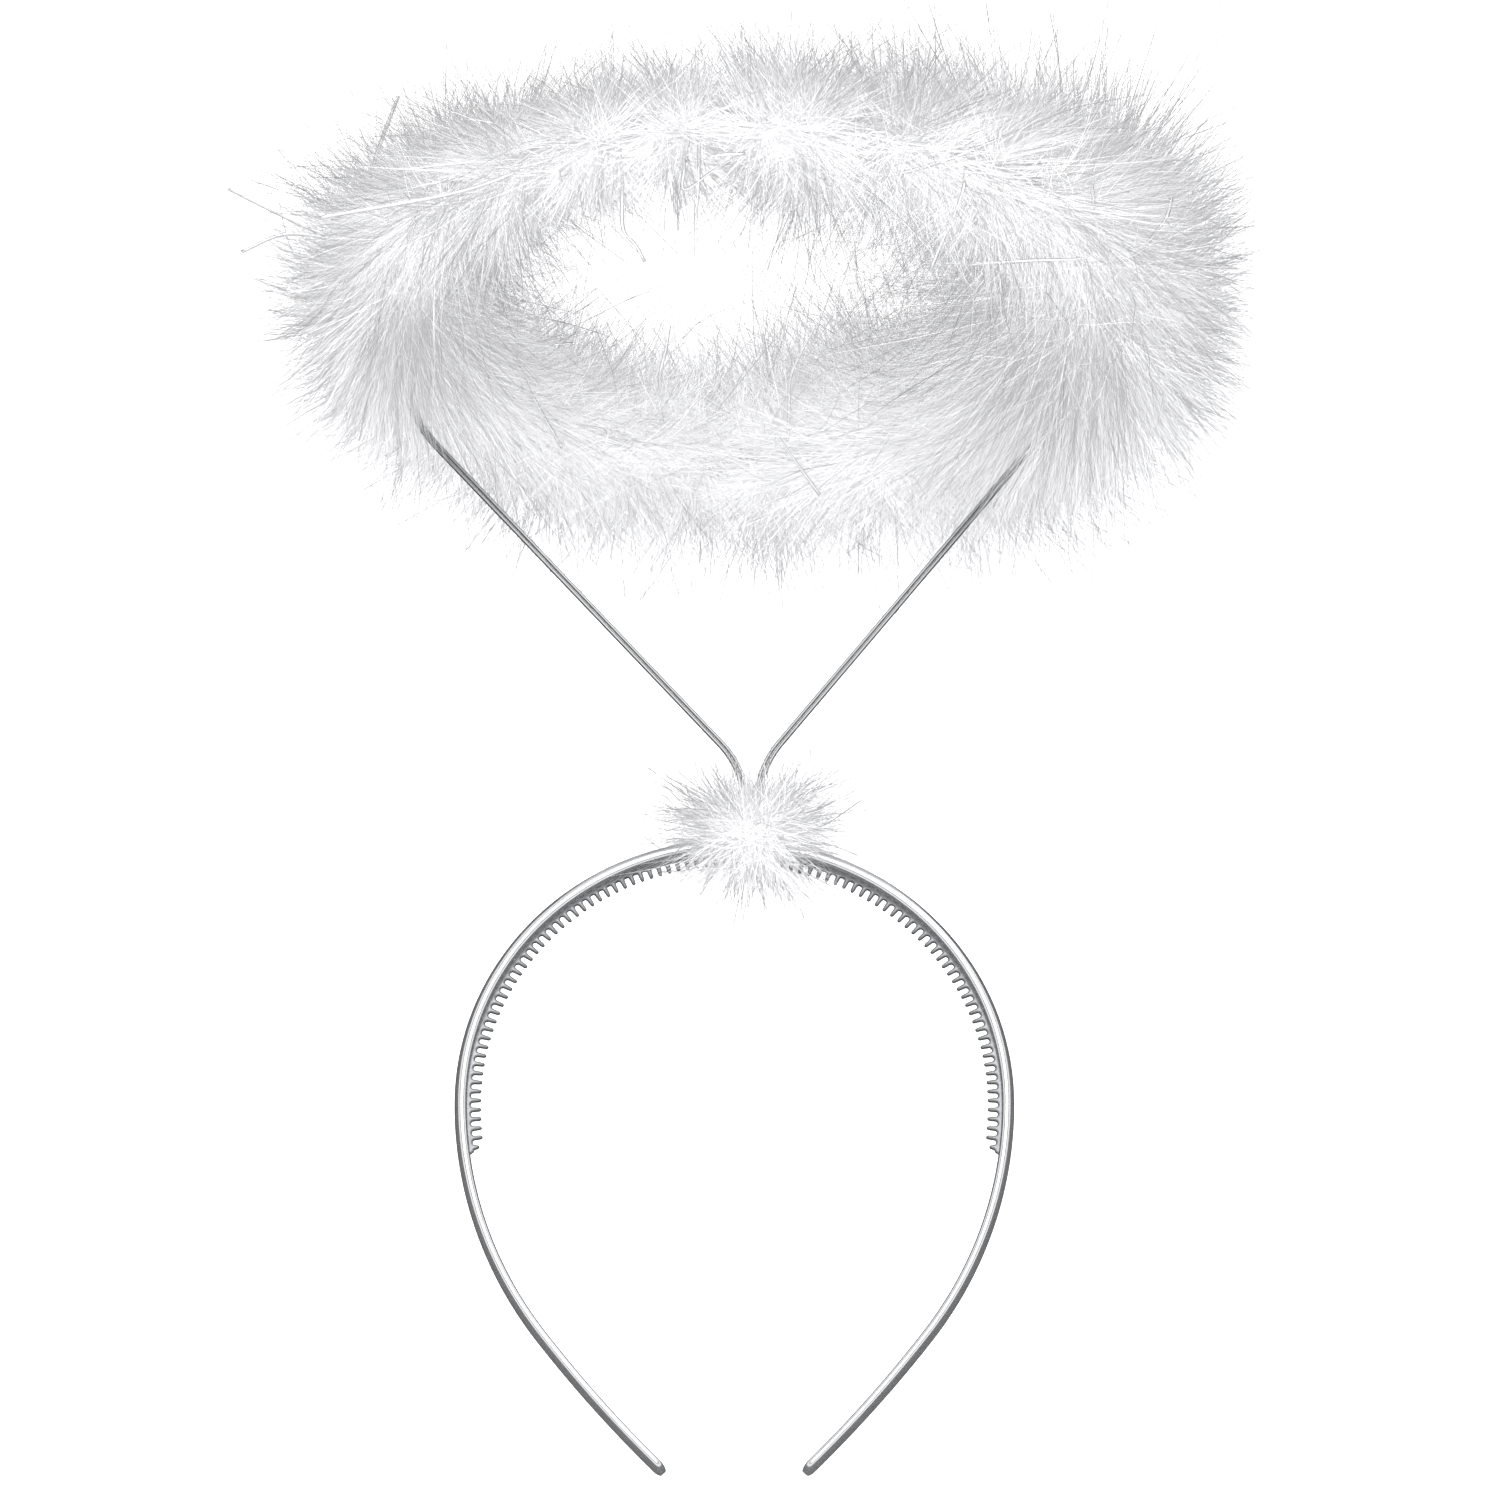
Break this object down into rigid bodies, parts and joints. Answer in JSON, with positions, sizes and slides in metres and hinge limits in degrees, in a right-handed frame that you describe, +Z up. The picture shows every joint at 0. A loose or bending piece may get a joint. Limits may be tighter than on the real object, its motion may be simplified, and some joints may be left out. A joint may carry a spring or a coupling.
{
  "type": "costume halo headband",
  "caption": "Toothed silver plastic headband with a white fur pompom on its crown and two bent wire stems that hold a furred halo ring above it.",
  "frame": {"origin": "on the surface the object lies on, under the middle of its box", "axes": "+Z up, +Y from the band's tips past the crown to the halo ring, +X across the band; the front of the object faces up"},
  "size_m": [0.2476, 0.3574, 0.223],
  "materials": {
    "silver_plastic": "glossy silver-coated moulded plastic",
    "steel_wire": "bright drawn steel wire",
    "white_fur": "white marabou down with strands of silver tinsel"
  },
  "bodies": {
    "root": {"headband": "silver_plastic", "crown_clasp": "silver_plastic", "left_stem": "steel_wire", "right_stem": "steel_wire", "ring_wire": "steel_wire", "halo_fur": "white_fur", "pompom": "white_fur"}
  },
  "joints": []
}
